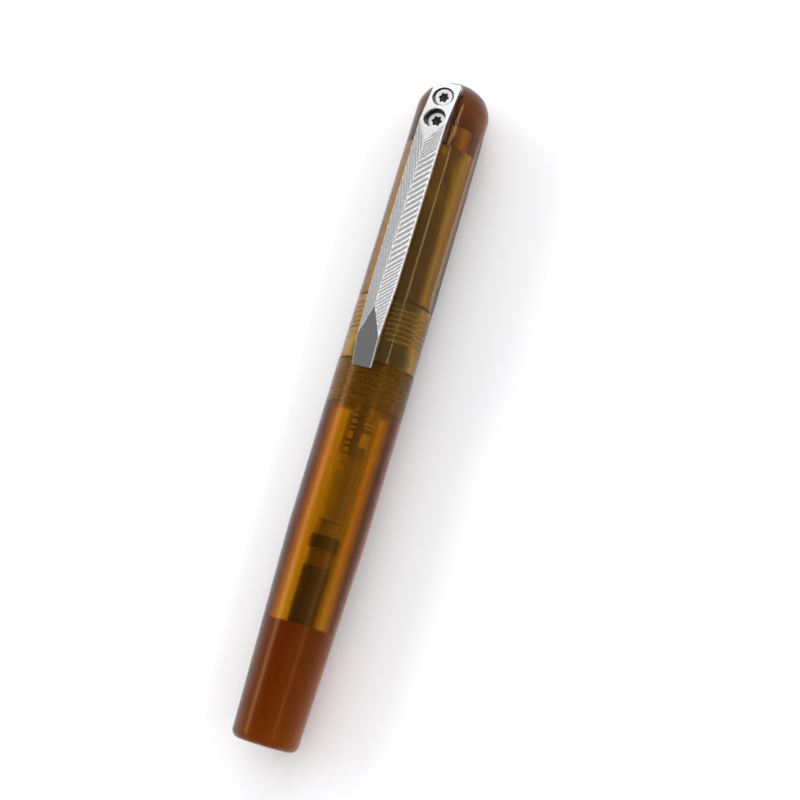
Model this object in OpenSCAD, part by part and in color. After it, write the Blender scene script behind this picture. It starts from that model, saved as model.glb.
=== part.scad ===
// Capped clip pen with a screw cap, a screw barrel and a drop-in refill.
// The pen lies along Y with the cap towards +Y and the clip on top.
// Along the pen, places are stations: millimetres from the cap's crown towards the tail.

/* [Pen] */
// Length from the crown of the cap to the tail end
pen_length = 133; // [131:0.5:136]
// Radius of the barrel's straight stretch
barrel_r = 7.5; // [7.4:0.05:7.8]
// Radius of the tail end before its edge is rounded
tail_r = 6.4; // [6:0.1:6.8]
// Station at which the barrel starts to narrow towards the tail
taper_start = 92.5; // [88:0.5:96]

/* [Cap] */
// Length of the cap from its crown to its lip
cap_length = 58.9; // [58.5:0.1:59.5]
// Radius of the cap below its rounded shoulder
cap_top_r = 7.2; // [7.1:0.05:7.4]
// Radius of the cap at its lip
cap_lip_r = 7.42; // [7.35:0.01:7.48]
// Radius of the ball-shaped crown
crown_ball_r = 8.3; // [8:0.1:9]
// Radius at which the crown meets the shoulder
crown_edge_r = 5.5; // [5.2:0.1:5.8]
// Depth of the flat on each side of the cap
side_flat_depth = 0.2; // [0.1:0.05:0.3]
// Width of the pocket that holds the clip
pocket_w = 6.3; // [6:0.1:6.5]
// Height of the pocket's floor above the pen's axis
pocket_floor = 6; // [5.8:0.1:6.2]

/* [Clip] */
// Station of the clip's top end
clip_start = 2.5; // [2.2:0.1:2.8]
// Length of the clip
clip_length = 58.2; // [57.6:0.1:58.4]
// Width of the clip at its screws
clip_base_w = 5.5; // [5.3:0.1:5.6]
// Width of the clip at its tip
clip_tip_w = 3.9; // [3.7:0.1:4.4]
// Rise of the clip's centre ridge above its edges
ridge_rise = 1.3; // [1.1:0.1:1.5]
// Distance between the two clip screws
screw_spacing = 4.9; // [4.8:0.05:5]

/* [Threads] */
// Pitch of the cap thread
cap_pitch = 1; // [0.9:0.05:1.1]
// Number of starts of the cap thread
cap_starts = 3; // [2:1:4]
// Pitch of the single-start barrel thread
barrel_pitch = 1; // [0.9:0.05:1.1]

/* [Refill] */
// Length of the refill from its ball to its rear end
refill_length = 98.1; // [97.6:0.1:98.3]
// Radius of the refill's tube
refill_r = 2.95; // [2.9:0.01:2.98]
// Station at which the ink ends
ink_end = 76.5; // [60:0.5:85]

/* [Hidden] */
$fn = 96;
eps = 0.01;
seam_gap = 0.05;
edge_break = 0.3;

// Cap
shoulder_arc_r = 6;
crown_depth = crown_ball_r - sqrt(pow(crown_ball_r, 2) - pow(crown_edge_r, 2));
shoulder_angle = acos(1 - (cap_top_r - crown_edge_r) / shoulder_arc_r);
shoulder_end = crown_depth + shoulder_arc_r * sin(shoulder_angle);
lip_chamfer = 0.12;
tip_bore_start = 9.3;
tip_bore_r = 3.1;
grip_bore_start = 13.9;
grip_bore_r = 4.8;
cap_thread_start = 46;
cap_thread_end = 55;
skirt_bore_r = 5.8;
side_flat_start = 8;
side_flat_end = 47;
flat_cutter_r = 60;
pocket_end = 14.3;
pocket_corner_r = 0.5;

// Clip
clip_end = clip_start + clip_length;
clip_flex = 15.3;
ridge_start = 16.2;
ridge_end = 49.5;
ridge_y = 11.2;
base_slope = 0.27;
pad_slope = 0.22;
arm_underside = 9;
arm_root_r = 1.2;
tip_underside = 7.6;
tip_land = 1.5;
tip_ramp_start = 52;
base_end = pocket_end - 0.15;
plan_taper_start = 12;
waist = 45;
waist_w = 5.2;
clip_corner = 0.3;
first_screw = 5.65;
screw_head_r = 1.8;
screw_head_h = 1.2;
screw_r = 1;
screw_length = 3.6;
screw_top = 7.9;
counterbore_r = 2.15;
clearance_r = 1.1;
tapped_r = 1.03;
torx_mid_r = 0.88;
torx_lobe = 0.14;
torx_depth = 0.8;

// Threads
thread_h = 0.55;
thread_root_w = 0.65;
thread_crest_w = 0.25;
thread_clear = 0.1;
cap_male_r = 4.75;
cap_bore_thread_r = cap_male_r + thread_h + thread_clear;
tenon_r = 4.45;
tenon_bore_r = tenon_r + thread_h + thread_clear;
thread_steps = 30;
thread_sink = 0.2;
thread_run_in = 0.3;
// Height that a thread starts with, as a share of its full height, and how many fade-ins fit in a turn
thread_start_h = 0.3;
thread_fades = 6;

// Section and its seal
nose_start = 15;
nose_r = 2.3;
grip_r = 4.5;
grip_end = 45.6;
grip_front = nose_start + 4;
grip_front_r = 3.35;
// How fast the grip swells behind the nose, and the number of steps that draw it
grip_swell = 2;
grip_steps = 12;
ring_station = 56.2;
ring_wire_r = 0.6;
ring_groove_r = 4.56;
ring_groove_start = 55.5;
flange_start = 56.9;
flange_r = 5.7;
tenon_end = 67;
nose_hole_r = 1.27;
nose_cone_start = 18;
section_bore_r = 3.03;
section_bore_start = 23;
tenon_gap = 0.03;
tenon_end_play = 0.2;

// Barrel
barrel_start = cap_length + seam_gap;
barrel_bore_r = 3.7;
barrel_bore_end = 109.6;
barrel_chamfer = 0.25;
tail_edge_r = 1.6;
tail_crown = 0.35;

// Refill
refill_end = barrel_bore_end - seam_gap;
refill_start = refill_end - refill_length;
ball_r = 0.4;
ball_play = 0.01;
tip_face = refill_start + 0.3;
tip_face_r = 0.5;
tip_shank_r = 1.19;
tip_cone_end = refill_start + 2.6;
tip_shank_end = nose_cone_start + 0.2;
tip_collar_start = section_bore_start + 0.2;
tube_start = tip_collar_start + 1.9;
tube_bore_r = 2.55;
spigot_length = 3;
ink_channel_r = 0.35;
plug_start = 92.6;
plug_flange_end = 95;
plug_neck_end = 98.5;
plug_r = 2.65;
plug_neck_r = 2.15;
plug_ring_r = 2.35;

// Puts a part drawn upright, with its stations along +Z and the clip side at +Y, into the pen's own frame
module lay_down() {
    translate([0, pen_length / 2, barrel_r]) rotate([90, 0, 0]) children();
}

// A round shape from one station to another, with its radius at each end
module turned(s0, s1, r0, r1) {
    translate([0, 0, s0]) cylinder(h = s1 - s0, r1 = r0, r2 = r1);
}

// Points of a quarter-or-less arc about (cx, cy), for a turned outline
function arc(cx, cy, r, a0, a1, n) = [for (i = [0:n]) let (a = a0 + (a1 - a0) * i / n)
    [cx + r * cos(a), cy + r * sin(a)]];

// Cross-sections of one thread start, each a trapezium, swept up a helix. A ridge that points
// inwards has a crest smaller than its root.
module thread_ridge(root_r, crest_r, lead, length, phase) {
    turns = length / lead;
    n = ceil(turns * thread_steps);
    inward = crest_r < root_r;
    rings = [for (i = [0:n]) let (
            t = i / n,
            a = phase + 360 * turns * t,
            z = length * t,
            fade = min(1, min(t, 1 - t) * turns * thread_fades),
            tip_r = root_r + (crest_r - root_r) * (thread_start_h + (1 - thread_start_h) * fade))
        [for (p = [[root_r, -thread_root_w / 2], [tip_r, -thread_crest_w / 2],
                [tip_r, thread_crest_w / 2], [root_r, thread_root_w / 2]])
            [p[0] * cos(a), p[0] * sin(a), z + p[1]]]];
    points = [for (ring = rings) for (p = ring) p];
    sides = [for (i = [0:n - 1]) for (j = [0:3]) let (
            k = (j + 1) % 4,
            q = [4 * i + j, 4 * i + k, 4 * i + 4 + k, 4 * i + 4 + j])
        for (tri = [[q[0], q[1], q[2]], [q[0], q[2], q[3]]]) inward ? [tri[2], tri[1], tri[0]] : tri];
    ends = [[3, 2, 1, 0], [4 * n, 4 * n + 1, 4 * n + 2, 4 * n + 3]];
    faces = concat(sides, [for (e = ends) inward ? [e[3], e[2], e[1], e[0]] : e]);
    polyhedron(points = points, faces = faces, convexity = 10);
}

// A whole thread of one or more starts between two stations
module thread(root_r, crest_r, pitch, starts, s0, s1, phase = 0) {
    for (i = [0:starts - 1])
        translate([0, 0, s0 + thread_root_w])
            thread_ridge(root_r, crest_r, pitch * starts, s1 - s0 - 2 * thread_root_w,
                phase + 360 * i / starts);
}

module cap_outline() {
    crown_angle = asin(crown_edge_r / crown_ball_r);
    rotate_extrude() polygon(concat(
        [for (i = [0:8]) let (a = crown_angle * i / 8)
            [crown_ball_r * sin(a), crown_ball_r - crown_ball_r * cos(a)]],
        [for (i = [1:10]) let (a = shoulder_angle * (1 - i / 10))
            [cap_top_r - shoulder_arc_r + shoulder_arc_r * cos(a), shoulder_end - shoulder_arc_r * sin(a)]],
        [[cap_lip_r, cap_length - lip_chamfer], [cap_lip_r - lip_chamfer, cap_length], [0, cap_length]]));
}

module side_flat() {
    flat_x = cap_top_r + (cap_lip_r - cap_top_r) / 2 - side_flat_depth;
    run_out = sqrt(2 * flat_cutter_r * side_flat_depth);
    translate([flat_x, -4, side_flat_start + run_out])
        cube([2, 8, side_flat_end - side_flat_start - 2 * run_out]);
    for (s = [side_flat_start + run_out, side_flat_end - run_out])
        intersection() {
            translate([flat_x + flat_cutter_r, 4, s])
                rotate([90, 0, 0]) cylinder(h = 8, r = flat_cutter_r, $fn = 360);
            translate([flat_x, -4, s - run_out - 1]) cube([2, 8, 2 * run_out + 2]);
        }
}

module clip_pocket() {
    translate([-pocket_w / 2, pocket_floor, -1]) cube([pocket_w, 4, pocket_end - pocket_corner_r + 1]);
    translate([-pocket_w / 2 + pocket_corner_r, pocket_floor, -1])
        cube([pocket_w - 2 * pocket_corner_r, 4, pocket_end + 1]);
    for (x = [-1, 1])
        translate([x * (pocket_w / 2 - pocket_corner_r), pocket_floor, pocket_end - pocket_corner_r])
            rotate([-90, 0, 0]) cylinder(h = 4, r = pocket_corner_r);
}

module at_screws() {
    for (i = [0:1]) translate([0, 0, first_screw + i * screw_spacing]) rotate([-90, 0, 0]) children();
}

module cap() {
    color([0.56, 0.36, 0.1]) lay_down() {
        difference() {
            cap_outline();
            turned(tip_bore_start, grip_bore_start + eps, tip_bore_r, tip_bore_r);
            turned(grip_bore_start, cap_thread_start, grip_bore_r, grip_bore_r);
            turned(cap_thread_start - 2 * thread_run_in, cap_thread_start + eps,
                grip_bore_r, cap_bore_thread_r);
            turned(cap_thread_start, cap_thread_end, cap_bore_thread_r, cap_bore_thread_r);
            turned(cap_thread_end - eps, cap_length + 1, skirt_bore_r, skirt_bore_r);
            clip_pocket();
            for (m = [0, 1]) mirror([m, 0, 0]) side_flat();
            at_screws() translate([0, 0, screw_top - screw_head_h - screw_length])
                cylinder(h = 6, r = tapped_r);
        }
        thread(cap_bore_thread_r + thread_sink, cap_male_r + thread_clear, cap_pitch, cap_starts,
            cap_thread_start + thread_run_in, cap_thread_end - thread_run_in, 180 / cap_starts);
    }
}

module cap_o_ring() {
    color([0.05, 0.05, 0.05]) lay_down()
        translate([0, 0, ring_station]) rotate_extrude() translate([ring_groove_r + ring_wire_r + eps, 0])
            circle(r = ring_wire_r, $fn = 32);
}

module section() {
    color([0.6, 0.38, 0.1]) lay_down() {
        difference() {
            rotate_extrude() polygon([
                [0, nose_start], [nose_r - edge_break, nose_start], [nose_r, nose_start + edge_break],
                each [for (i = [0:grip_steps]) let (t = i / grip_steps) [
                    grip_front_r + (grip_r - grip_front_r) * (1 - pow(1 - t, grip_swell)),
                    grip_front + (grip_end - grip_front) * t]],
                [cap_male_r, grip_end + edge_break], [cap_male_r, cap_thread_end],
                [cap_male_r + thread_h, cap_thread_end + edge_break],
                [cap_male_r + thread_h, ring_groove_start],
                [ring_groove_r, ring_groove_start], [ring_groove_r, flange_start],
                [flange_r, flange_start], [flange_r, barrel_start - tenon_gap],
                [tenon_r, barrel_start - tenon_gap], [tenon_r, tenon_end - edge_break],
                [tenon_r - edge_break, tenon_end], [0, tenon_end]]);
            turned(nose_start - 1, section_bore_start, nose_hole_r, nose_hole_r);
            turned(nose_cone_start, section_bore_start, nose_hole_r, section_bore_r);
            turned(section_bore_start - eps, tenon_end + 1, section_bore_r, section_bore_r);
        }
        thread(cap_male_r - thread_sink, cap_male_r + thread_h, cap_pitch, cap_starts,
            cap_thread_start + thread_run_in, cap_thread_end - thread_run_in);
        thread(tenon_r - thread_sink, tenon_r + thread_h, barrel_pitch, 1,
            barrel_start + 2 * thread_run_in, tenon_end - thread_run_in);
    }
}

module barrel() {
    color([0.62, 0.4, 0.08]) lay_down() {
        difference() {
            rotate_extrude() polygon(concat(
                [[0, barrel_start], [barrel_r - barrel_chamfer, barrel_start],
                    [barrel_r, barrel_start + barrel_chamfer], [barrel_r, taper_start]],
                [for (p = arc(tail_r - tail_edge_r, 0, tail_edge_r, 0, 80, 8))
                    [p[0], pen_length - tail_crown - tail_edge_r + p[1]]],
                [[0, pen_length]]));
            turned(barrel_start - 1, tenon_end + tenon_end_play, tenon_bore_r, tenon_bore_r);
            turned(tenon_end, barrel_bore_end, barrel_bore_r, barrel_bore_r);
        }
        thread(tenon_bore_r + thread_sink, tenon_r + thread_clear, barrel_pitch, 1,
            barrel_start + 2 * thread_run_in, tenon_end - thread_run_in, 180);
    }
}

// The whole milled clip: a side view, a plan view and a gabled roof, all intersected
module clip_body() {
    half_w = clip_base_w / 2;
    base_top = ridge_y - base_slope * (ridge_start - clip_start);
    tip_top = ridge_y - pad_slope * (clip_end - ridge_end);
    intersection() {
        translate([-half_w - 1, 0, 0]) rotate([0, 90, 0]) rotate([0, 0, 90]) linear_extrude(clip_base_w + 2)
            polygon(concat(
                [[pocket_floor, clip_start], [base_top, clip_start], [ridge_y, ridge_start],
                    [ridge_y, ridge_end], [tip_top, clip_end], [tip_underside, clip_end],
                    [tip_underside, clip_end - tip_land], [arm_underside, tip_ramp_start]],
                arc(arm_underside - arm_root_r, base_end + arm_root_r, arm_root_r, 0, -90, 6),
                [[pocket_floor, base_end]]));
        translate([0, pocket_floor - 1, 0]) rotate([-90, 0, 0]) linear_extrude(8) polygon([
            [half_w - clip_corner, -clip_start], [half_w, -clip_start - clip_corner],
            [half_w, -plan_taper_start], [waist_w / 2, -waist], [clip_tip_w / 2, -clip_end + clip_corner],
            [clip_tip_w / 2 - clip_corner, -clip_end], [clip_corner - clip_tip_w / 2, -clip_end],
            [-clip_tip_w / 2, -clip_end + clip_corner], [-waist_w / 2, -waist],
            [-half_w, -plan_taper_start],
            [-half_w, -clip_start - clip_corner], [clip_corner - half_w, -clip_start]]);
        linear_extrude(clip_end + 1) polygon([[0, ridge_y], [half_w, ridge_y - ridge_rise],
            [half_w, pocket_floor - 1], [-half_w, pocket_floor - 1], [-half_w, ridge_y - ridge_rise]]);
    }
}

module clip_base() {
    color([0.72, 0.72, 0.74]) lay_down() difference() {
        intersection() {
            clip_body();
            translate([-5, 0, 0]) cube([10, 20, clip_flex]);
        }
        at_screws() translate([0, 0, screw_top - screw_head_h]) cylinder(h = 5, r = counterbore_r);
        at_screws() cylinder(h = 10, r = clearance_r);
    }
}

module clip_arm() {
    color([0.78, 0.78, 0.8]) lay_down() intersection() {
        clip_body();
        translate([-5, 0, clip_flex]) cube([10, 20, clip_end]);
    }
}

// Six-lobed socket outline
module torx_outline() {
    polygon([for (a = [0:7.5:359]) let (r = torx_mid_r + torx_lobe * cos(6 * a)) [r * cos(a), r * sin(a)]]);
}

module clip_screws() {
    seat = screw_top - screw_head_h;
    rim = 0.15;
    color([0.82, 0.82, 0.84]) lay_down() at_screws() difference() {
        union() {
            translate([0, 0, seat - screw_length]) cylinder(h = screw_length + eps, r = screw_r);
            translate([0, 0, seat]) cylinder(h = screw_head_h - rim, r = screw_head_r);
            translate([0, 0, screw_top - rim])
                cylinder(h = rim, r1 = screw_head_r, r2 = screw_head_r - rim);
        }
        translate([0, 0, screw_top - torx_depth]) linear_extrude(1) torx_outline();
    }
}

module refill_tube() {
    color([0.75, 0.72, 0.6]) lay_down() difference() {
        turned(tube_start, plug_start, refill_r, refill_r);
        turned(tube_start - 1, plug_start + 1, tube_bore_r, tube_bore_r);
    }
}

module refill_ink() {
    color([0.05, 0.05, 0.08]) lay_down()
        turned(tube_start + spigot_length + eps, ink_end, tube_bore_r - eps, tube_bore_r - eps);
}

module refill_tip() {
    color([0.8, 0.76, 0.6]) lay_down() difference() {
        rotate_extrude() polygon([
            [0, tip_face], [tip_face_r, tip_face], [tip_shank_r, tip_cone_end],
            [tip_shank_r, tip_shank_end],
            [refill_r, tip_collar_start], [refill_r, tube_start - eps],
            [tube_bore_r - eps, tube_start - eps],
            [tube_bore_r - eps, tube_start + spigot_length], [0, tube_start + spigot_length]]);
        translate([0, 0, refill_start + ball_r]) sphere(r = ball_r + ball_play);
        turned(refill_start + ball_r, tube_start + spigot_length + 1, ink_channel_r, ink_channel_r);
    }
}

module refill_ball() {
    color([0.5, 0.5, 0.52]) lay_down() translate([0, 0, refill_start + ball_r]) sphere(r = ball_r);
}

module refill_plug() {
    rings = 3;
    ring_pitch = (plug_neck_end - plug_flange_end) / rings;
    color([0.08, 0.07, 0.06]) lay_down() {
        turned(plug_start - spigot_length, plug_start + eps, tube_bore_r - eps, tube_bore_r - eps);
        turned(plug_start + eps, plug_flange_end, refill_r, refill_r);
        turned(plug_flange_end - eps, plug_neck_end + eps, plug_neck_r, plug_neck_r);
        for (i = [0:rings - 1])
            turned(plug_flange_end + (i + 0.35) * ring_pitch, plug_flange_end + (i + 0.75) * ring_pitch,
                plug_ring_r, plug_ring_r);
        turned(plug_neck_end, refill_end, plug_r, plug_r);
    }
}

cap();
clip_base();
clip_arm();
clip_screws();
cap_o_ring();
section();
barrel();
refill_tube();
refill_ink();
refill_tip();
refill_ball();
refill_plug();
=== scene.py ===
import math

import bmesh
import bpy
from mathutils import Matrix, Vector


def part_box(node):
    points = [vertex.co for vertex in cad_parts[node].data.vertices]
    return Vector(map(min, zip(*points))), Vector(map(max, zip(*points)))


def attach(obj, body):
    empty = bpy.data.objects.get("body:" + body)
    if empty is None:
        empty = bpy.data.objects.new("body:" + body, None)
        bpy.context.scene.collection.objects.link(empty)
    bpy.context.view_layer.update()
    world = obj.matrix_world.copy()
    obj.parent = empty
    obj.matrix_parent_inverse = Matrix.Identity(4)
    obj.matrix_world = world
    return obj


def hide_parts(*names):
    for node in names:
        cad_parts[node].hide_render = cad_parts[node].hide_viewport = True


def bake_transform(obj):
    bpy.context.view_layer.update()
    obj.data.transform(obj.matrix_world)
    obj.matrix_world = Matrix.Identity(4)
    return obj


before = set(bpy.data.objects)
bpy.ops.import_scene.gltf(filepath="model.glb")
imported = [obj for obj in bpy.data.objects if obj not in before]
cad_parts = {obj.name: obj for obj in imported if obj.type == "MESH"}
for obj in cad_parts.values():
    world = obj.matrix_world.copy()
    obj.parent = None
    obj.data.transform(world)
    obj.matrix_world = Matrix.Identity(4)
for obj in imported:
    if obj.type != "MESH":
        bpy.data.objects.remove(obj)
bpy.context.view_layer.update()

MM = 0.001

# The pen lies along Y. A station is the distance in millimetres from the cap's crown towards the tail.
CROWN_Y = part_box("cap")[1].y
AXIS_Z = (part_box("barrel")[0].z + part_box("barrel")[1].z) / 2


def place(station, across=0.0, up=0.0):
    """A point by its station and its place about the pen's axis, all in millimetres."""
    return Vector((across * MM, CROWN_Y - station * MM, AXIS_Z + up * MM))


def start_of(node):
    """Station of a node's end that is nearer the crown."""
    return (CROWN_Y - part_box(node)[1].y) / MM


def end_of(node):
    """Station of a node's end that is nearer the tail."""
    return (CROWN_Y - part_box(node)[0].y) / MM


def half_width_of(node):
    """Half a node's width, in millimetres."""
    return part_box(node)[1].x / MM


def heights_of(node):
    """A node's lowest and highest points above the pen's axis, in millimetres."""
    low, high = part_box(node)
    return (low.z - AXIS_Z) / MM, (high.z - AXIS_Z) / MM


# ---------------------------------------------------------------- materials

class Nodes:
    """A node tree, and short ways to add nodes to it."""

    def __init__(self, tree):
        self.tree = tree

    def node(self, kind, **settings):
        made = self.tree.nodes.new(kind)
        for key, value in settings.items():
            setattr(made, key, value)
        return made

    def link(self, source, target):
        self.tree.links.new(source, target)

    def feed(self, target, value):
        """Gives a socket a plain number, or links another socket to it."""
        if isinstance(value, (int, float)):
            target.default_value = value
        else:
            self.link(value, target)

    def math(self, operation, a, b=None):
        made = self.node("ShaderNodeMath", operation=operation)
        self.feed(made.inputs[0], a)
        if b is not None:
            self.feed(made.inputs[1], b)
        return made.outputs[0]

    def remap(self, value, low, high, to_low, to_high, kind="LINEAR"):
        made = self.node("ShaderNodeMapRange", interpolation_type=kind)
        self.feed(made.inputs["Value"], value)
        self.feed(made.inputs["From Min"], low)
        self.feed(made.inputs["From Max"], high)
        self.feed(made.inputs["To Min"], to_low)
        self.feed(made.inputs["To Max"], to_high)
        return made.outputs[0]

    def mix_colour(self, factor, first, second):
        made = self.node("ShaderNodeMix", data_type="RGBA")
        made.inputs["A"].default_value = (*first, 1)
        made.inputs["B"].default_value = (*second, 1)
        self.link(factor, made.inputs["Factor"])
        return made.outputs["Result"]


class Shader(Nodes):
    """A material with one Principled shader, and short ways to add the nodes that feed it."""

    def __init__(self, name):
        self.material = bpy.data.materials.new(name)
        self.material.use_nodes = True
        super().__init__(self.material.node_tree)
        self.principled = self.tree.nodes["Principled BSDF"]
        self.output = self.tree.nodes["Material Output"]

    def plain(self, **values):
        """Sets values that are the same all over."""
        for key, value in values.items():
            self.principled.inputs[key.replace("_", " ")].default_value = value

    def object_place(self):
        """The X, Y and Z of the point that is shaded, in metres."""
        coordinates = self.node("ShaderNodeTexCoord")
        parts = self.node("ShaderNodeSeparateXYZ")
        self.link(coordinates.outputs["Object"], parts.inputs[0])
        return parts.outputs

    def off_axis(self):
        """Distance from the pen's axis, in millimetres."""
        point = self.object_place()
        up = self.math("SUBTRACT", point["Z"], AXIS_Z)
        across_squared = self.math("POWER", point["X"], 2.0)
        up_squared = self.math("MULTIPLY", up, up)
        return self.math("DIVIDE", self.math("SQRT", self.math("ADD", across_squared, up_squared)), MM)

    def along(self):
        """Station along the pen, in millimetres from the crown."""
        from_crown = self.math("SUBTRACT", CROWN_Y, self.object_place()["Y"])
        return self.math("DIVIDE", from_crown, MM)

    def noise(self, scale, detail=3.0, stretch=(1, 1, 1)):
        """Noise over object coordinates in millimetres. A small stretch draws it out into streaks."""
        coordinates = self.node("ShaderNodeTexCoord")
        mapping = self.node("ShaderNodeMapping")
        mapping.inputs["Scale"].default_value = [s / MM for s in stretch]
        self.link(coordinates.outputs["Object"], mapping.inputs["Vector"])
        made = self.node("ShaderNodeTexNoise")
        made.inputs["Scale"].default_value = scale
        made.inputs["Detail"].default_value = detail
        self.link(mapping.outputs[0], made.inputs["Vector"])
        return made.outputs["Fac"]

    def spread(self, noise, low, high):
        """Spreads a noise's usual range over low to high."""
        return self.remap(noise, 0.3, 0.7, low, high)

    def roughness(self, value):
        self.link(value, self.principled.inputs["Roughness"])

    def colour(self, value):
        self.link(value, self.principled.inputs["Base Color"])

    def bump(self, height, distance, strength=1.0):
        """Relief from a height, with its depth in millimetres."""
        made = self.node("ShaderNodeBump")
        made.inputs["Distance"].default_value = distance * MM
        made.inputs["Strength"].default_value = strength
        self.link(height, made.inputs["Height"])
        self.link(made.outputs[0], self.principled.inputs["Normal"])

    def absorb(self, per_metre):
        """How much red, green and blue the material takes out of light, per metre."""
        density = max(per_metre)
        volume = self.node("ShaderNodeVolumeAbsorption")
        volume.inputs["Density"].default_value = density
        volume.inputs["Color"].default_value = [1 - a / density for a in per_metre] + [1]
        self.link(volume.outputs[0], self.output.inputs["Volume"])


# The amber plastic. Its tints and absorptions are fitted to the look of the pen, not measured.
PLASTIC_IOR = 1.63
PLASTIC_TINT = (0.86, 0.92, 0.75, 1)
CAP_SHEEN = (0.5, 0.37, 0.18, 1)
BODY_SHEEN = (0.4, 0.2, 0.05, 1)
CAP_ABSORPTION = (125.0, 275.0, 800.0)
BODY_ABSORPTION = (92.0, 236.0, 900.0)
# Surfaces nearer the axis than the skin are bores. Those before this station are rough with threads.
PEN_RADIUS = half_width_of("barrel")
SKIN = 1.2
SKIN_FADE = 0.2
THREAD_ZONE_END = 68.0


def amber_plastic(name, outer_roughness, thread_roughness, bore_roughness, sheen, absorption):
    """Translucent amber plastic: turned or polished outside, and with tool marks in its bores."""
    s = Shader(name)
    s.plain(Base_Color=PLASTIC_TINT, IOR=PLASTIC_IOR, Transmission_Weight=1.0, Specular_Tint=sheen)
    bores = s.remap(s.along(), THREAD_ZONE_END, THREAD_ZONE_END + 1, thread_roughness, bore_roughness)
    skin_start = PEN_RADIUS - SKIN - SKIN_FADE
    surface = s.remap(s.off_axis(), skin_start, skin_start + SKIN_FADE, bores, outer_roughness)
    patches = s.spread(s.noise(0.35), -0.02, 0.02)
    s.roughness(s.math("ADD", surface, patches))
    s.bump(s.noise(6.0, detail=2.0, stretch=(0.03, 1, 0.03)), 0.004, 0.5)
    s.absorb(absorption)
    return s.material


def cap_plastic():
    """The cap's plastic, polished outside."""
    return amber_plastic("cap_plastic", 0.06, 0.3, 0.25, CAP_SHEEN, CAP_ABSORPTION)


def body_plastic():
    """The plastic of the barrel and the section, satin outside."""
    return amber_plastic("body_plastic", 0.2, 0.75, 0.1, BODY_SHEEN, BODY_ABSORPTION)


def clip_titanium():
    """Milled titanium: a grey metal with a fine blasted grain, faint scratches and bright worn edges."""
    s = Shader("milled_titanium")
    s.plain(Metallic=1.0)
    grain = s.noise(7.0, detail=4.0)
    geometry = s.node("ShaderNodeNewGeometry")
    wear = s.remap(geometry.outputs["Pointiness"], 0.52, 0.6, 0.0, 1.0)
    tone = s.math("ADD", s.math("MULTIPLY", grain, 0.8), wear)
    s.colour(s.mix_colour(tone, (0.22, 0.218, 0.216), (0.5, 0.5, 0.5)))
    s.roughness(s.spread(s.noise(2.5), 0.16, 0.24))
    s.bump(s.math("ADD", grain, s.noise(5.0, stretch=(1, 0.06, 1))), 0.006, 0.5)
    return s.material


def turned_steel():
    """Bright screw steel with fine scratches."""
    s = Shader("turned_steel")
    s.plain(Metallic=1.0)
    scratches = s.noise(14.0, stretch=(1, 0.3, 1))
    s.colour(s.mix_colour(scratches, (0.72, 0.72, 0.72), (0.95, 0.95, 0.95)))
    s.roughness(s.spread(scratches, 0.2, 0.36))
    s.bump(scratches, 0.006, 0.4)
    return s.material


def socket_shadow():
    """Painted shade: near-black metal on a screw socket's walls and floor, for the shade deep inside the
    socket.
    """
    s = Shader("socket_shadow")
    s.plain(Metallic=1.0)
    mottle = s.noise(6.0)
    # The near-black colours are painted shade; the noise only varies them a little.
    s.colour(s.mix_colour(mottle, (0.02, 0.02, 0.022), (0.09, 0.088, 0.085)))
    s.roughness(s.spread(mottle, 0.35, 0.6))
    return s.material


def print_ink():
    """Opaque pale print on the refill, a little worn."""
    s = Shader("print_ink")
    wear = s.noise(3.0, detail=4.0)
    s.colour(s.mix_colour(wear, (0.75, 0.68, 0.42), (0.9, 0.86, 0.66)))
    s.roughness(s.spread(wear, 0.4, 0.6))
    return s.material


def seal_rubber():
    """Matt black rubber with a faint dusty bloom."""
    s = Shader("seal_rubber")
    bloom = s.noise(3.0)
    s.colour(s.mix_colour(bloom, (0.008, 0.008, 0.008), (0.025, 0.024, 0.023)))
    s.roughness(s.spread(bloom, 0.5, 0.7))
    s.bump(s.noise(12.0), 0.01, 0.4)
    return s.material


def refill_plastic():
    """Milky clear tube."""
    s = Shader("refill_plastic")
    s.plain(IOR=1.49, Transmission_Weight=0.97)
    s.colour(s.mix_colour(s.noise(0.5), (0.85, 0.83, 0.76), (0.92, 0.91, 0.86)))
    s.roughness(s.spread(s.noise(2.0), 0.05, 0.12))
    return s.material


def ink():
    """Black ink, a little thinner in places."""
    s = Shader("ink")
    film = s.noise(1.2)
    s.colour(s.mix_colour(film, (0.004, 0.004, 0.007), (0.012, 0.011, 0.018)))
    s.roughness(s.spread(film, 0.08, 0.2))
    return s.material


def tip_metal():
    """Plated refill tip with turning lines."""
    s = Shader("tip_metal")
    s.plain(Metallic=1.0)
    lines = s.noise(8.0, stretch=(0.05, 1, 0.05))
    s.colour(s.mix_colour(lines, (0.55, 0.5, 0.38), (0.8, 0.75, 0.6)))
    s.roughness(s.spread(lines, 0.18, 0.32))
    s.bump(lines, 0.006, 0.4)
    return s.material


def ball_metal():
    """The hard ball's ground metal."""
    s = Shader("ball_metal")
    s.plain(Metallic=1.0)
    s.colour(s.mix_colour(s.noise(20.0), (0.35, 0.35, 0.37), (0.55, 0.55, 0.57)))
    s.roughness(s.spread(s.noise(20.0), 0.08, 0.15))
    return s.material


def plug_plastic():
    """The plug's black plastic."""
    s = Shader("plug_plastic")
    grain = s.noise(4.0)
    s.colour(s.mix_colour(grain, (0.012, 0.01, 0.008), (0.03, 0.026, 0.02)))
    s.roughness(s.spread(grain, 0.35, 0.5))
    s.bump(grain, 0.01, 0.3)
    return s.material


def plug_neck_plastic():
    """The plug's thinner neck, which is browner."""
    s = Shader("plug_neck_plastic")
    grain = s.noise(3.0)
    s.colour(s.mix_colour(grain, (0.16, 0.11, 0.03), (0.3, 0.22, 0.08)))
    s.roughness(s.spread(grain, 0.3, 0.45))
    s.bump(grain, 0.01, 0.3)
    return s.material


# ---------------------------------------------------------------- mesh helpers

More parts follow.
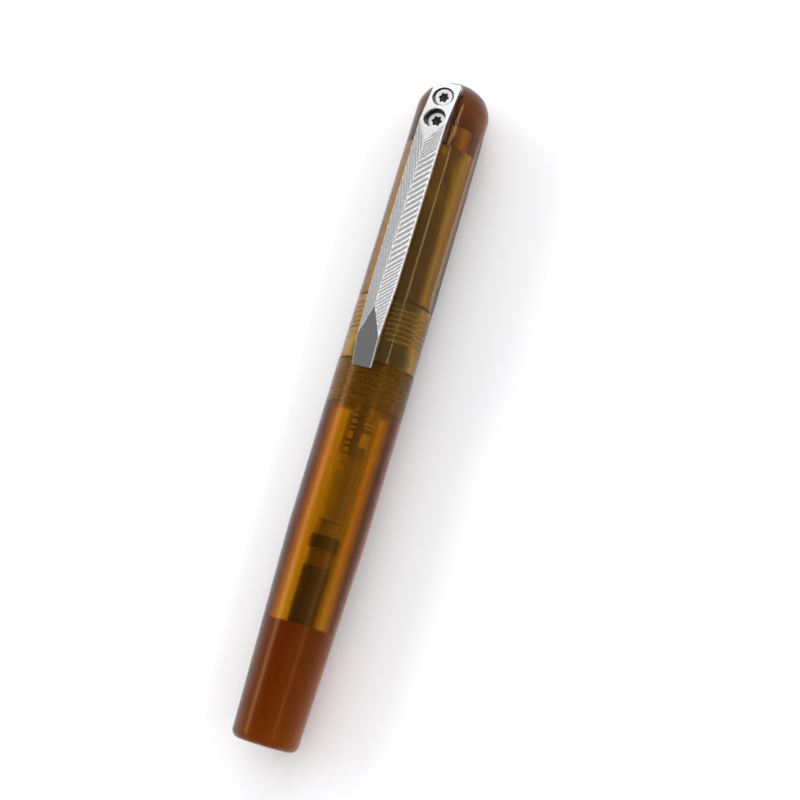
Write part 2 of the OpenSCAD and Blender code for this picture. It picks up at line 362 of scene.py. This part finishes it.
def smooth(mesh, sharp_angle=30):
    """Smooth shading, with the edges sharp past an angle in degrees."""
    mesh.shade_smooth()
    mesh.set_sharp_from_angle(angle=math.radians(sharp_angle))


def loft(rings):
    """Faces that join equal closed rings in turn, and then close the first ring and the last."""
    n = len(rings[0])
    faces = []
    for r in range(len(rings) - 1):
        for i in range(n):
            j = (i + 1) % n
            faces.append((r * n + i, r * n + j, (r + 1) * n + j, (r + 1) * n + i))
    last = (len(rings) - 1) * n
    faces.append(tuple(reversed(range(n))))
    faces.append(tuple(range(last, last + n)))
    return faces


def new_piece(name, stacks, materials, sharp_angle=30):
    """A mesh piece from one or more stacks of rings, whose points are in metres in the pen's frame."""
    points = []
    faces = []
    for rings in stacks:
        faces += [tuple(i + len(points) for i in face) for face in loft(rings)]
        points += [point for ring in rings for point in ring]
    mesh = bpy.data.meshes.new(name)
    mesh.from_pydata(points, [], faces)
    shell = bmesh.new()
    shell.from_mesh(mesh)
    bmesh.ops.recalc_face_normals(shell, faces=shell.faces)
    shell.to_mesh(mesh)
    shell.free()
    smooth(mesh, sharp_angle)
    for material in materials:
        mesh.materials.append(material)
    piece = bpy.data.objects.new(name, mesh)
    bpy.context.scene.collection.objects.link(piece)
    return piece


def around_line(segments, radius):
    """The two offsets of each point of a ring. The radius is a number, or depends on the angle."""
    offsets = []
    for i in range(segments):
        angle = 2 * math.pi * i / segments
        r = radius(angle) if callable(radius) else radius
        offsets.append((r * math.sin(angle), r * math.cos(angle)))
    return offsets


def upright_ring(station, up, radius):
    """A ring about an upright line through the pen's axis."""
    return [place(station + a, b, up) for a, b in around_line(96, radius)]


def axis_ring(station, radius):
    """A ring about the pen's axis."""
    return [place(station, a, b) for a, b in around_line(72, radius)]


def between(x, points):
    """The height at x of a line through (x, height) points."""
    for (x0, h0), (x1, h1) in zip(points, points[1:]):
        if x <= x1:
            return h0 + (h1 - h0) * max(0.0, (x - x0) / (x1 - x0))
    return points[-1][1]


def cut(piece, cutters):
    """Cuts solids out of a piece, and throws the cutters away."""
    for cutter in cutters:
        modifier = piece.modifiers.new("cut", "BOOLEAN")
        modifier.object = cutter
        modifier.solver = "EXACT"
    bpy.context.view_layer.update()
    evaluated = piece.evaluated_get(bpy.context.evaluated_depsgraph_get())
    mesh = bpy.data.meshes.new_from_object(evaluated)
    piece.modifiers.clear()
    old = piece.data
    piece.data = mesh
    bpy.data.meshes.remove(old)
    for cutter in cutters:
        bpy.data.objects.remove(cutter)


# ---------------------------------------------------------------- clip and screws
# Everything here is in millimetres: stations, and heights above the pen's axis.

CLIP_START = start_of("clip_base")
CLIP_END = end_of("clip_arm")
BASE_HALF_WIDTH = half_width_of("clip_base")
CLIP_HALF_WIDTHS = [(CLIP_START, BASE_HALF_WIDTH), (12, BASE_HALF_WIDTH), (45, 2.6), (CLIP_END, 1.95)]
# How much each side is drawn in at a distance from either end
CLIP_CORNER = [(0.0, 0.36), (0.1, 0.15), (0.36, 0.0)]
CLIP_EDGE = 0.12

RIDGE_UP = heights_of("clip_arm")[1]
RIDGE_START = 16.2
RIDGE_END = 49.5
RIDGE_RISE = 1.3
RIDGE_BLUNT = 0.08
NARROWEST_ROOF = 1.9
BASE_SLOPE = 0.27
PAD_SLOPE = 0.22

POCKET_FLOOR = heights_of("clip_base")[0]
ROOT_END = 14.15
ROOT_RADIUS = 1.2
ARM_UNDER = 9.0
TIP_UNDER = heights_of("clip_arm")[0]
TIP_SLOPE_START = 52
TIP_LENGTH = 1.5

# Milling marks on the roof's right side: where each stretch ends, its pitch and its depth
RIGHT_MARKS = [(20, 0.62, 0.055), (42, 1.25, 0.07), (math.inf, 0.8, 0.06)]
RIGHT_SLANT = 1.25
FINE_SHARE = 0.18
# And on its left side, where they are long and shallow
LEFT_PITCH = 2.0
LEFT_DEPTH = 0.035
LEFT_SLANT = 3.3
# The marks die out over these distances from the outer edge, above the flats and beside the ridge
EDGE_FADE = 0.1
FLAT_FADE = 0.04
RIDGE_FADE = 0.12

CLIP_SLICES = 640
CLIP_COLUMNS = 46

SCREW_STATIONS = (5.65, 10.55)
SCREW_TOP = 7.9
HEAD_HEIGHT = 1.2
SEAT = SCREW_TOP - HEAD_HEIGHT
HEAD_RADIUS = 1.8
SHANK_RADIUS = 1.0
COUNTERBORE_RADIUS = 2.15
CLEARANCE_RADIUS = 1.1


def clip_half_width(station):
    """Half the clip's width, with the small corners at both ends."""
    from_end = min(station - CLIP_START, CLIP_END - station)
    return between(station, CLIP_HALF_WIDTHS) - between(from_end, CLIP_CORNER)


def cutter_marks(station, across):
    """Depth of the milling cutter's scallops on the clip's two sloping faces."""
    if across > 0:
        along_marks = station + RIGHT_SLANT * across
        pitch, depth = next(marks[1:] for marks in RIGHT_MARKS if along_marks < marks[0])
        phase = along_marks / pitch
        fine = 1 - abs(2 * ((phase * 3) % 1) - 1)
    else:
        depth = LEFT_DEPTH
        phase = (station - LEFT_SLANT * across) / LEFT_PITCH
        fine = 0.0
    hollow = 1 - (2 * (phase % 1) - 1) ** 2
    return depth * (hollow + FINE_SHARE * fine)


def clip_top(station, across):
    """Height of the clip's top: a ridged roof, cut off by the sloping flats of its root and its pad."""
    half = clip_half_width(station)
    blunt = math.sqrt(across * across + RIDGE_BLUNT ** 2) - RIDGE_BLUNT
    roof = RIDGE_UP - RIDGE_RISE * blunt / max(half, NARROWEST_ROOF)
    base = RIDGE_UP - BASE_SLOPE * (RIDGE_START - station)
    pad = RIDGE_UP - PAD_SLOPE * (station - RIDGE_END)
    flat = min(base, pad)
    if flat < roof:
        return flat
    near_edge = max(0.0, min(1.0, (half - abs(across)) / EDGE_FADE))
    near_flat = min(1.0, (flat - roof) / FLAT_FADE)
    near_ridge = min(1.0, abs(across) / RIDGE_FADE)
    return roof - cutter_marks(station, across) * near_edge * near_flat * near_ridge


def clip_under(station):
    """Height of the clip's underside: the foot, the arched root, the arm and the tip."""
    if station < ROOT_END:
        return POCKET_FLOOR
    if station < ROOT_END + ROOT_RADIUS:
        run = ROOT_END + ROOT_RADIUS - station
        return ARM_UNDER - ROOT_RADIUS + math.sqrt(max(0.0, ROOT_RADIUS ** 2 - run ** 2))
    tip_start = CLIP_END - TIP_LENGTH
    return between(station, [(TIP_SLOPE_START, ARM_UNDER), (tip_start, TIP_UNDER), (CLIP_END, TIP_UNDER)])


def clip_ring(station):
    """One slice across the clip: its top face, then its broken edges, its sides and its underside."""
    half = clip_half_width(station)
    inner = half - CLIP_EDGE
    under = clip_under(station)
    ring = []
    for i in range(CLIP_COLUMNS + 1):
        across = inner * (2 * i / CLIP_COLUMNS - 1)
        ring.append((across, clip_top(station, across)))
    side_top = clip_top(station, inner) - CLIP_EDGE
    side_middle = (side_top + under) / 2
    ring += [(half, side_top), (half, side_middle), (half, under + CLIP_EDGE), (inner, under)]
    ring += [(half * k / 2, under) for k in (1, 0, -1)]
    ring += [(-inner, under), (-half, under + CLIP_EDGE), (-half, side_middle), (-half, side_top)]
    return [place(station, across, up) for across, up in reversed(ring)]


def screw_cutter(station, metal):
    """The solid that a screw's clearance hole and counterbore take out of the clip."""
    levels = [(POCKET_FLOOR - 1, CLEARANCE_RADIUS), (SEAT, CLEARANCE_RADIUS), (SEAT, COUNTERBORE_RADIUS),
              (RIDGE_UP + 1, COUNTERBORE_RADIUS)]
    return new_piece("cutter", [[upright_ring(station, up, r) for up, r in levels]], [metal])


def make_clip(metal):
    """The whole clip as one milled piece, with a counterbore and a hole for each screw."""
    length = CLIP_END - CLIP_START
    rings = [clip_ring(CLIP_START + length * i / CLIP_SLICES) for i in range(CLIP_SLICES + 1)]
    clip = new_piece("clip", [rings], [metal])
    cut(clip, [screw_cutter(station, metal) for station in SCREW_STATIONS])
    smooth(clip.data)
    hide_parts("clip_base", "clip_arm")
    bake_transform(clip)


def lobe(angle):
    """Outline of the six-lobed socket."""
    return 0.88 + 0.14 * math.cos(6 * angle)


# A screw from the bottom of its socket up to its face, over its rim and down to its point: depths below its
# top, and radii
SOCKET_PROFILE = [(0.95, 0.25), (0.8, lambda angle: 0.7 * lobe(angle)), (0.75, lobe), (0.12, lobe)]
HEAD_PROFILE = [(0.04, lambda angle: lobe(angle) + 0.07), (0.03, 1.18), (0.0, HEAD_RADIUS - 0.3),
                (0.02, HEAD_RADIUS - 0.16), (0.14, HEAD_RADIUS - 0.04), (0.2, HEAD_RADIUS),
                (HEAD_HEIGHT, HEAD_RADIUS), (HEAD_HEIGHT, SHANK_RADIUS),
                (HEAD_HEIGHT + 3.4, SHANK_RADIUS), (HEAD_HEIGHT + 3.6, SHANK_RADIUS - 0.2)]


def screw_rings(station):
    """The rings of the screw at a station."""
    profile = SOCKET_PROFILE + HEAD_PROFILE
    return [upright_ring(station, SCREW_TOP - depth, radius) for depth, radius in profile]


def make_screws(steel, shadow):
    """Two turned screws with a dished face, a broken rim and a deep six-lobed socket in painted shade."""
    stacks = [screw_rings(station) for station in SCREW_STATIONS]
    screws = new_piece("screws", stacks, [steel, shadow], sharp_angle=35)
    faces_each = len(screws.data.polygons) // len(SCREW_STATIONS)
    socket_walls = (len(SOCKET_PROFILE) - 1) * len(stacks[0][0])
    socket_floor = faces_each - 2
    # The socket's walls and floor get the second material, which is painted shade.
    for polygon in screws.data.polygons:
        face = polygon.index % faces_each
        if face < socket_walls or face == socket_floor:
            polygon.material_index = 1
    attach(screws, "cap")
    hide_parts("clip_screws")


# ---------------------------------------------------------------- refill
# Stations and radii in millimetres

PLUG_START = start_of("refill_plug")
PLUG_END = end_of("refill_plug")
FLANGE_RADIUS = half_width_of("refill_plug")
SPIGOT_END = PLUG_START + 3.0
SPIGOT_RADIUS = 2.53
NECK_START = SPIGOT_END + 2.4
NECK_END = SPIGOT_END + 5.9
NECK_RADIUS = 2.15
RIB_RADIUS = 2.35
RIBS = 3
BLOCK_RADIUS = 2.65

REFILL_RADIUS = half_width_of("refill_tube")
PRINT_GAP = 0.003
PRINT_HEIGHT = 0.015


def rib(middle):
    """Outline of one raised ring on the plug's neck, with softened shoulders."""
    left = [(middle - 0.25, NECK_RADIUS), (middle - 0.2, RIB_RADIUS - 0.05), (middle - 0.12, RIB_RADIUS)]
    right = [(middle + 0.12, RIB_RADIUS), (middle + 0.2, RIB_RADIUS - 0.05), (middle + 0.25, NECK_RADIUS)]
    return left + right


def make_plug(black, smoky, clear):
    """The refill's end plug: a spigot, a flange, a ribbed neck and a long block with rounded edges."""
    spigot = [(PLUG_START, SPIGOT_RADIUS - 0.23), (PLUG_START + 0.2, SPIGOT_RADIUS),
              (SPIGOT_END, SPIGOT_RADIUS)]
    flange = [(SPIGOT_END + 0.02, FLANGE_RADIUS - 0.1), (SPIGOT_END + 0.12, FLANGE_RADIUS),
              (NECK_START - 0.12, FLANGE_RADIUS), (NECK_START, FLANGE_RADIUS - 0.12)]
    neck = [(NECK_START + 0.03, NECK_RADIUS)]
    pitch = (NECK_END - NECK_START) / RIBS
    for i in range(RIBS):
        neck += rib(NECK_START + (i + 0.55) * pitch)
    block = [(NECK_END, NECK_RADIUS), (NECK_END + 0.02, BLOCK_RADIUS - 0.12), (NECK_END + 0.14, BLOCK_RADIUS),
             (PLUG_END - 0.3, BLOCK_RADIUS), (PLUG_END - 0.1, BLOCK_RADIUS - 0.1),
             (PLUG_END, BLOCK_RADIUS - 0.3)]
    rings = [axis_ring(station, radius) for station, radius in spigot + flange + neck + block]
    plug = new_piece("plug", [rings], [black, smoky, clear])
    around = len(rings[0])
    spigot_faces = (len(spigot) - 1) * around
    spigot_end = len(plug.data.polygons) - 2
    neck_first = (len(spigot) + len(flange)) * around
    neck_last = neck_first + len(neck) * around
    for polygon in plug.data.polygons:
        if neck_first <= polygon.index < neck_last:
            polygon.material_index = 1
        if polygon.index < spigot_faces or polygon.index == spigot_end:
            polygon.material_index = 2
    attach(plug, "refill")
    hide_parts("refill_plug")


def print_patch(start, end, angle0, angle1):
    """Rings of a thin raised patch of print on the refill's tube. Angles are from straight up towards +X."""
    steps = max(2, int(abs(angle1 - angle0) / 4))
    low = REFILL_RADIUS + PRINT_GAP
    high = low + PRINT_HEIGHT
    rings = []
    for i in range(steps + 1):
        angle = math.radians(angle0 + (angle1 - angle0) * i / steps)
        corners = [(start, low), (start, high), (end, high), (end, low)]
        rings.append([place(station, r * math.sin(angle), r * math.cos(angle)) for station, r in corners])
    return rings


def patch_row(station, lengths, gap, angle0, angle1):
    """Patches of print one after another along the refill, and the station where the row ends."""
    patches = []
    for length in lengths:
        patches.append(print_patch(station, station + length, angle0, angle1))
        station += length + gap
    return patches, station


def make_refill_print(ink_material):
    """Generic stock marks on the refill: a ladder of bars beside a column of plain dashes."""
    bars = (0.5, 0.28, 0.28, 0.8, 0.28, 0.5, 0.28, 0.28, 1.0, 0.35, 0.3, 0.75, 0.3, 0.3, 0.55, 0.3)
    dashes = (0.5, 1.3, 0.4, 0.9, 0.4, 0.4, 1.2, 0.5, 0.8, 0.4, 1.6, 0.5, 0.9, 0.4, 0.4, 1.2)
    ladder, ladder_end = patch_row(58.0, bars, 0.42, 34, 88)
    block = print_patch(ladder_end + 0.5, ladder_end + 3.2, 34, 80)
    column, _ = patch_row(60.0, dashes, 0.55, -8, 8)
    marks = new_piece("refill_print", ladder + [block] + column, [ink_material])
    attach(marks, "refill")


# ---------------------------------------------------------------- the pen

def give(node, material):
    """Puts one material on a whole CAD node."""
    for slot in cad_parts[node].material_slots:
        slot.material = material


def dress_pen():
    """Materials on the CAD nodes that stay, and finer pieces in place of the others."""
    give("cap", cap_plastic())
    body = body_plastic()
    give("barrel", body)
    give("section", body)
    make_clip(clip_titanium())
    make_screws(turned_steel(), socket_shadow())
    make_refill_print(print_ink())
    give("cap_o_ring", seal_rubber())
    tube = refill_plastic()
    give("refill_tube", tube)
    give("refill_ink", ink())
    give("refill_tip", tip_metal())
    give("refill_ball", ball_metal())
    make_plug(plug_plastic(), plug_neck_plastic(), tube)


# ---------------------------------------------------------------- camera, floor and light
# Metres, from the middle of the pen

MIDDLE = Vector((0, 0, AXIS_Z))
CAMERA_OFFSET = Vector((0.11205, -0.05416, 0.31649))
CAMERA_TARGET = Vector((0.00635, 0.00277, 0))
CAMERA_ROLL = 0.289
CAMERA_LENS = 80.2

FLOOR_HALF = 2.0

ROOM_STRENGTH = 1.1
ROOM_WHITE = (1.0, 1.0, 1.02)
# The photographer's shade overhead: its direction, its colour, and where it begins and is full (as cosines)
SHADE_DIRECTION = (-0.33, -0.245, 0.912)
SHADE_GREY = (0.4, 0.4, 0.4)
SHADE_EDGE = 0.75
SHADE_FULL = 0.97


def aim(obj, position, target, roll=0.0):
    """Stands a camera or lamp at a position, looking at a target, with a roll about its line of sight."""
    forward = (target - position).normalized()
    right = forward.cross(Vector((0, 1, 0))).normalized()
    above = right.cross(forward)
    turned_right = right * math.cos(roll) + above * math.sin(roll)
    turned_above = above * math.cos(roll) - right * math.sin(roll)
    axes = Matrix((turned_right, turned_above, -forward)).transposed().to_4x4()
    obj.matrix_world = Matrix.Translation(position) @ axes


def make_camera():
    """A long lens above the pen, rolled so that the pen leans across the frame."""
    data = bpy.data.cameras.new("camera")
    data.sensor_width = 36
    data.lens = CAMERA_LENS
    camera = bpy.data.objects.new("camera", data)
    bpy.context.scene.collection.objects.link(camera)
    aim(camera, MIDDLE + CAMERA_OFFSET, MIDDLE + CAMERA_TARGET, CAMERA_ROLL)
    bpy.context.scene.camera = camera


def make_floor():
    """White paper under the pen."""
    mesh = bpy.data.meshes.new("floor")
    corners = [(x * FLOOR_HALF, y * FLOOR_HALF, 0) for x, y in ((-1, -1), (1, -1), (1, 1), (-1, 1))]
    mesh.from_pydata(corners, [], [(0, 1, 2, 3)])
    floor = bpy.data.objects.new("floor", mesh)
    bpy.context.scene.collection.objects.link(floor)
    s = Shader("floor_paper")
    s.plain(Roughness=0.9)
    s.colour(s.mix_colour(s.noise(0.02), (0.86, 0.86, 0.865), (0.9, 0.9, 0.9)))
    mesh.materials.append(s.material)


def make_room():
    """A white room that is darker overhead, where the photographer stands, shown without a film look."""
    bpy.context.scene.view_settings.view_transform = "Standard"
    world = bpy.data.worlds.new("studio")
    world.use_nodes = True
    bpy.context.scene.world = world
    room = Nodes(world.node_tree)
    toward = room.node("ShaderNodeVectorMath", operation="DOT_PRODUCT")
    toward.inputs[1].default_value = SHADE_DIRECTION
    room.link(room.node("ShaderNodeTexCoord").outputs["Generated"], toward.inputs[0])
    shade = room.remap(toward.outputs["Value"], SHADE_EDGE, SHADE_FULL, 0.0, 1.0, "SMOOTHSTEP")
    background = room.tree.nodes["Background"]
    background.inputs["Strength"].default_value = ROOM_STRENGTH
    room.link(room.mix_colour(shade, ROOM_WHITE, SHADE_GREY), background.inputs["Color"])


def make_lamp(name, direction, distance, width, length, radiance):
    """A soft box that looks at the pen's middle from a direction. Its size is in metres."""
    data = bpy.data.lights.new(name, "AREA")
    data.shape = "RECTANGLE"
    data.size = width
    data.size_y = length
    data.energy = radiance * math.pi * width * length
    lamp = bpy.data.objects.new(name, data)
    bpy.context.scene.collection.objects.link(lamp)
    aim(lamp, MIDDLE + Vector(direction).normalized() * distance, MIDDLE)


make_camera()
make_floor()
make_room()
make_lamp("left_window", (-0.79, 0.16, 0.6), distance=1.0, width=0.2, length=0.9, radiance=5.0)
make_lamp("far_window", (-0.1, 0.88, 0.46), distance=1.1, width=0.8, length=0.5, radiance=3.0)
make_lamp("right_strip", (0.67, 0.16, 0.72), distance=0.7, width=0.05, length=0.6, radiance=5.0)
dress_pen()
